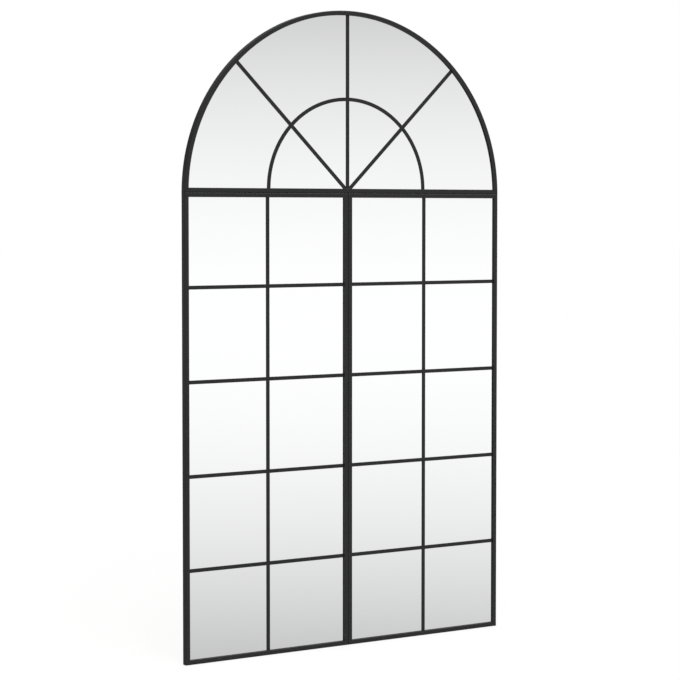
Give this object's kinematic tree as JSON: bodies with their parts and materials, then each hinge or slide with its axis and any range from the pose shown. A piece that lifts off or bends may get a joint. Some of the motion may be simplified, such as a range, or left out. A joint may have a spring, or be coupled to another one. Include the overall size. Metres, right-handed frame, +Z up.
{
  "type": "arched wall mirror",
  "caption": "Arched wall mirror in a black angle-iron frame made like a window: a half-round fanlight with spokes above tall leaves divided into panes, hung on keyhole plates.",
  "frame": {"origin": "on the wall plane at the back, midway between the keyholes' entry holes", "axes": "+X to the right seen from the front, +Y back into the wall, +Z up"},
  "size_m": [0.8, 0.015, 1.4039],
  "materials": {
    "frame_black": "satin black powder coat",
    "strip_black": "satin black powder coat",
    "sheet_steel": "satin black powder coat on sheet steel",
    "mirror_glass": "silvered float glass",
    "hardboard": "brown hardboard",
    "foam_tape": "black closed-cell foam",
    "screw_steel": "black zinc"
  },
  "bodies": {
    "root": {"fan_arch_bar": "frame_black", "fan_back_board": "hardboard", "fan_base_rail": "frame_black", "fan_glazing_tape": "foam_tape", "fan_inner_arch_1": "strip_black", "fan_inner_arch_2": "strip_black", "fan_inner_arch_3": "strip_black", "fan_inner_arch_4": "strip_black", "fan_mirror": "mirror_glass", "fan_retaining_tongues": "sheet_steel", "fan_spoke_centre": "strip_black", "fan_spoke_left": "strip_black", "fan_spoke_right": "strip_black", "left_back_board": "hardboard", "left_bottom_rail": "frame_black", "left_cross_bar_1_inner": "strip_black", "left_cross_bar_1_outer": "strip_black", "left_cross_bar_2_inner": "strip_black", "left_cross_bar_2_outer": "strip_black", "left_cross_bar_3_inner": "strip_black", "left_cross_bar_3_outer": "strip_black", "left_cross_bar_4_inner": "strip_black", "left_cross_bar_4_outer": "strip_black", "left_glazing_tape": "foam_tape", "left_hanger_plate": "sheet_steel", "left_inner_stile": "frame_black", "left_mirror": "mirror_glass", "left_outer_stile": "frame_black", "left_retaining_tongues": "sheet_steel", "left_top_rail": "frame_black", "left_vertical_bar": "strip_black", "mullion_screws": "screw_steel", "right_back_board": "hardboard", "right_bottom_rail": "frame_black", "right_cross_bar_1_inner": "strip_black", "right_cross_bar_1_outer": "strip_black", "right_cross_bar_2_inner": "strip_black", "right_cross_bar_2_outer": "strip_black", "right_cross_bar_3_inner": "strip_black", "right_cross_bar_3_outer": "strip_black", "right_cross_bar_4_inner": "strip_black", "right_cross_bar_4_outer": "strip_black", "right_glazing_tape": "foam_tape", "right_hanger_plate": "sheet_steel", "right_inner_stile": "frame_black", "right_mirror": "mirror_glass", "right_outer_stile": "frame_black", "right_retaining_tongues": "sheet_steel", "right_top_rail": "frame_black", "right_vertical_bar": "strip_black", "transom_screws": "screw_steel"}
  },
  "joints": []
}
